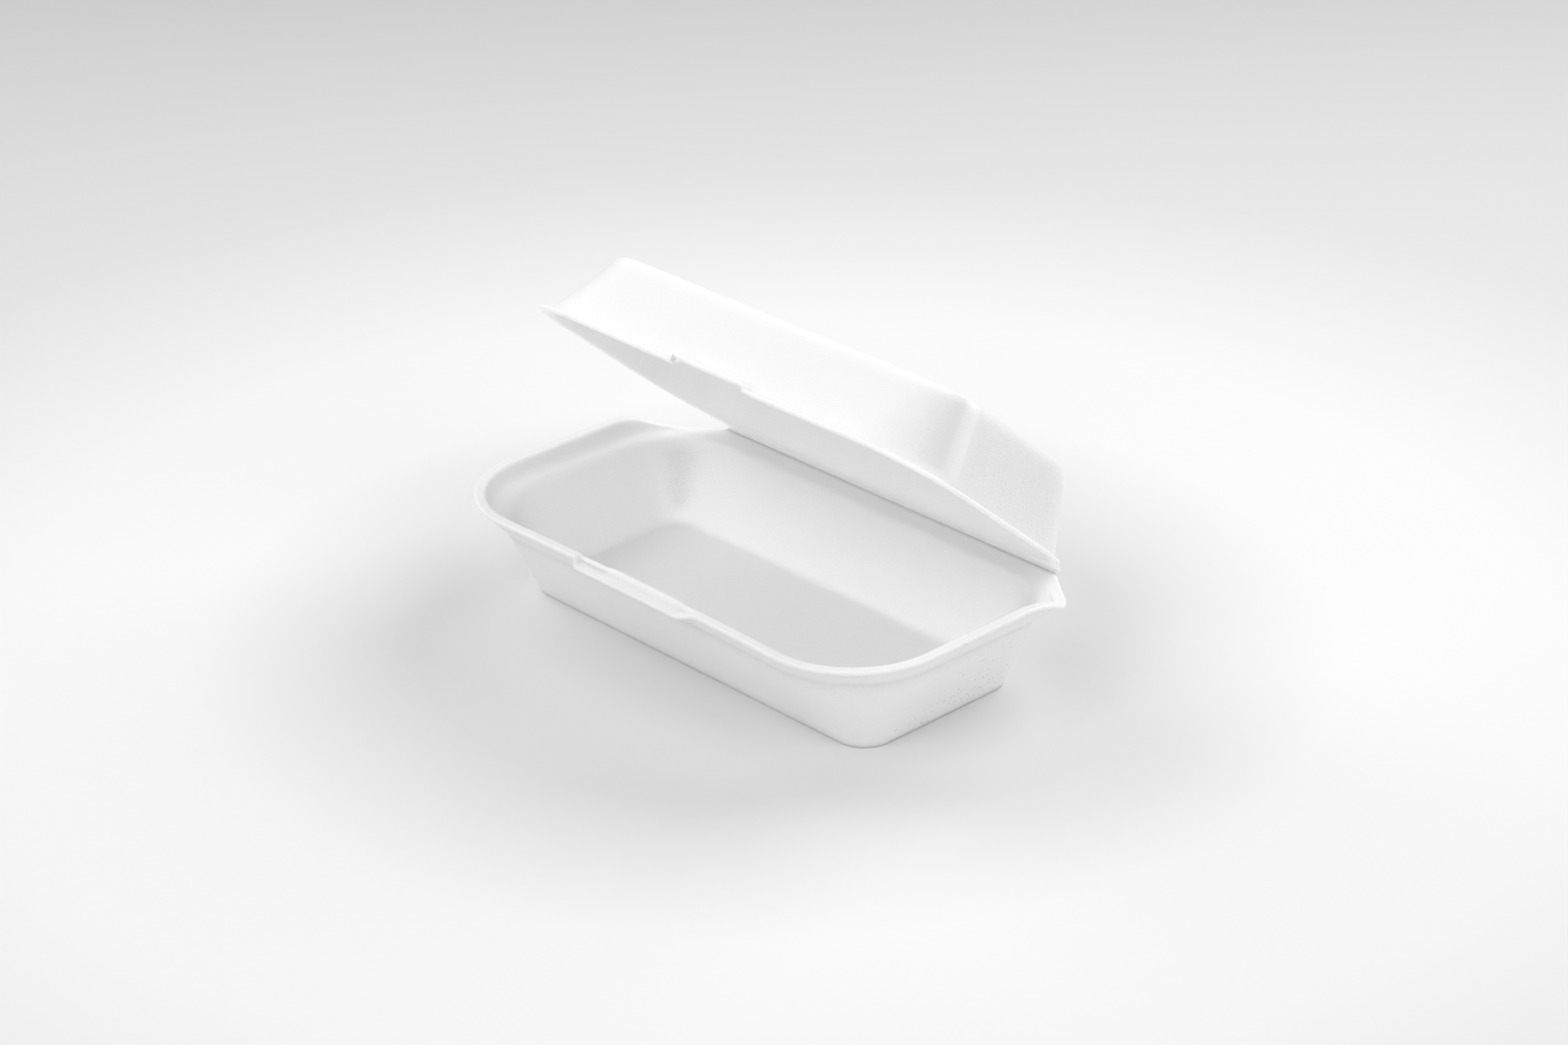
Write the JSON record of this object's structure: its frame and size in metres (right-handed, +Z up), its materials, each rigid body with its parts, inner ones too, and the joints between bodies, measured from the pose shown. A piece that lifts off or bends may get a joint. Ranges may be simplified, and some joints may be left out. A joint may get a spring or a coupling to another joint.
{
  "type": "foam clamshell container",
  "caption": "Hinged foam food box, standing open: a shallow flared tray with a raised rim, and a domed lid that nests inside the rim when shut.",
  "frame": {"origin": "centre of the tray's flat underside", "axes": "+X along the crease, to the right seen from the front; +Y from the latch at the front to the crease at the back; +Z up"},
  "size_m": [0.19, 0.1147, 0.1062],
  "materials": {
    "foam": "matte white foam with a fine closed-cell grain"
  },
  "bodies": {
    "tray": {"tray": "foam"},
    "lid": {"lid": "foam"}
  },
  "joints": [
    {"name": "lid_hinge", "type": "hinge", "parent": "tray", "child": "lid", "pos_m": [0, 0.0526, 0.0291], "axis": [-1, 0, 0], "range_deg": [-39, 139.6]}
  ]
}
